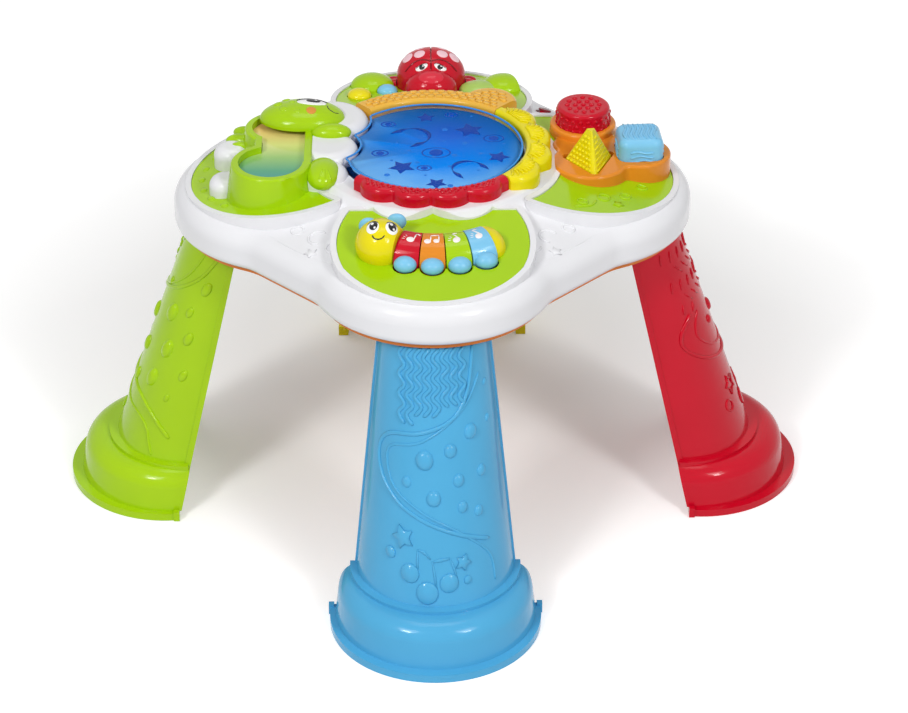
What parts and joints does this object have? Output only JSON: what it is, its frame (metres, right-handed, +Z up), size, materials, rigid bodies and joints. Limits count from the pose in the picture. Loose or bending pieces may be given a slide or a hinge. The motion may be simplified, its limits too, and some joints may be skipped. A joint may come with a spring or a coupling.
{
  "type": "activity table",
  "caption": "round-cornered play table on four half-round legs, with a press drum, a bug-shaped piano, a shape sorter, a ladybird button and a dinosaur light",
  "frame": {"origin": "on the floor under the middle of the table", "axes": "+Z is up, the bug side faces -Y and the shape sorter is at +X"},
  "size_m": [0.764, 0.764, 0.402],
  "materials": {
    "white_plastic": "moulded, smooth and glossy",
    "lime_plastic": "moulded, glossy",
    "orange_plastic": "moulded, glossy",
    "red_plastic": "moulded, glossy",
    "yellow_plastic": "moulded, glossy",
    "blue_plastic": "moulded, glossy",
    "clear_drum": "see-through, polished",
    "drum_print": "printed plate",
    "dino_lens": "frosted, printed gradient",
    "glow_plastic": "see-through green",
    "circuit_board": "lacquered board",
    "pad_rubber": "silicone",
    "steel": "plain wire and pins",
    "lamp": "clear",
    "cell_wrap": "plain wrap",
    "speaker_black": "matt"
  },
  "bodies": {
    "table": {"arch_orange": "orange_plastic", "arch_red": "red_plastic", "arch_yellow": "yellow_plastic", "back_board": "circuit_board", "back_pads": "pad_rubber", "batteries": "cell_wrap", "battery_contacts": "steel", "battery_door": "orange_plastic", "bottom_tray": "orange_plastic", "bug_ears": "blue_plastic", "bug_head": "yellow_plastic", "bug_tail": "yellow_plastic", "case_screws": "steel", "clouds": "white_plastic", "dino_arm": "lime_plastic", "dino_body": "lime_plastic", "dino_foot": "lime_plastic", "dino_frill": "lime_plastic", "dino_head": "lime_plastic", "dino_lens": "dino_lens", "disc_lights": "lamp", "drum_springs": "steel", "glow_bush": "glow_plastic", "key_board": "circuit_board", "key_pads": "pad_rubber", "key_pin": "steel", "ladybird_legs": "red_plastic", "ladybird_spring": "steel", "leg_back": "yellow_plastic", "leg_front": "blue_plastic", "leg_left": "lime_plastic", "leg_right": "red_plastic", "main_board": "circuit_board", "panel_back": "lime_plastic", "panel_front": "lime_plastic", "panel_left": "lime_plastic", "panel_right": "lime_plastic", "sorter_base": "orange_plastic", "speaker": "speaker_black", "top_shell": "white_plastic"},
    "key_red_body": {"key_red": "red_plastic", "foot_red": "blue_plastic"},
    "key_orange_body": {"key_orange": "orange_plastic", "foot_orange": "blue_plastic"},
    "key_green_body": {"key_green": "lime_plastic", "foot_green": "blue_plastic"},
    "key_blue_body": {"key_blue": "blue_plastic", "foot_blue": "blue_plastic"},
    "drum": {"drum_disc": "clear_drum", "drum_print": "drum_print"},
    "ladybird": {"ladybird_body": "red_plastic", "ladybird_wing_left": "red_plastic", "ladybird_wing_right": "red_plastic"},
    "button_yellow_body": {"button_yellow": "yellow_plastic"},
    "button_blue_body": {"button_blue": "blue_plastic"},
    "switch": {"switch_slider": "red_plastic"},
    "cylinder_block": {"block_cylinder": "red_plastic"},
    "pyramid_block": {"block_pyramid": "yellow_plastic"},
    "cube_block": {"block_cube": "blue_plastic"}
  },
  "joints": [
    {"name": "key_red_press", "type": "hinge", "parent": "table", "child": "key_red_body", "pos_m": [0, -0.14103, 0.34661], "axis": [1, 0, 0], "range_deg": [0, 3], "stiffness_Nm_per_rad": 1, "springref_deg": -1.15},
    {"name": "key_orange_press", "type": "hinge", "parent": "table", "child": "key_orange_body", "pos_m": [0, -0.14103, 0.34661], "axis": [1, 0, 0], "range_deg": [0, 3], "stiffness_Nm_per_rad": 1, "springref_deg": -1.15},
    {"name": "key_green_press", "type": "hinge", "parent": "table", "child": "key_green_body", "pos_m": [0, -0.14103, 0.34661], "axis": [1, 0, 0], "range_deg": [0, 3], "stiffness_Nm_per_rad": 1, "springref_deg": -1.15},
    {"name": "key_blue_press", "type": "hinge", "parent": "table", "child": "key_blue_body", "pos_m": [0, -0.14103, 0.34661], "axis": [1, 0, 0], "range_deg": [0, 3], "stiffness_Nm_per_rad": 1, "springref_deg": -1.15},
    {"name": "drum_press", "type": "slide", "parent": "table", "child": "drum", "axis": [0, 0, -1], "range_m": [0, 0.002], "stiffness_N_per_m": 4000, "springref_m": -0.001, "deforming": ["drum_springs"]},
    {"name": "ladybird_press", "type": "slide", "parent": "table", "child": "ladybird", "axis": [0, 0, -1], "range_m": [0, 0.004], "stiffness_N_per_m": 700, "springref_m": -0.002, "deforming": ["ladybird_spring"]},
    {"name": "button_yellow_press", "type": "slide", "parent": "table", "child": "button_yellow_body", "axis": [0, 0, -1], "range_m": [0, 0.002], "stiffness_N_per_m": 300, "springref_m": -0.001},
    {"name": "button_blue_press", "type": "slide", "parent": "table", "child": "button_blue_body", "axis": [0, 0, -1], "range_m": [0, 0.002], "stiffness_N_per_m": 300, "springref_m": -0.001},
    {"name": "volume_switch", "type": "slide", "parent": "table", "child": "switch", "axis": [-0.76, 0.6499, 0], "range_m": [-0.005, 0.005]},
    {"name": "cylinder_lift", "type": "slide", "parent": "table", "child": "cylinder_block", "axis": [0, 0, 1], "range_m": [0, 0.06]},
    {"name": "pyramid_lift", "type": "slide", "parent": "table", "child": "pyramid_block", "axis": [0, 0, 1], "range_m": [0, 0.06]},
    {"name": "cube_lift", "type": "slide", "parent": "table", "child": "cube_block", "axis": [0, 0, 1], "range_m": [0, 0.06]}
  ]
}
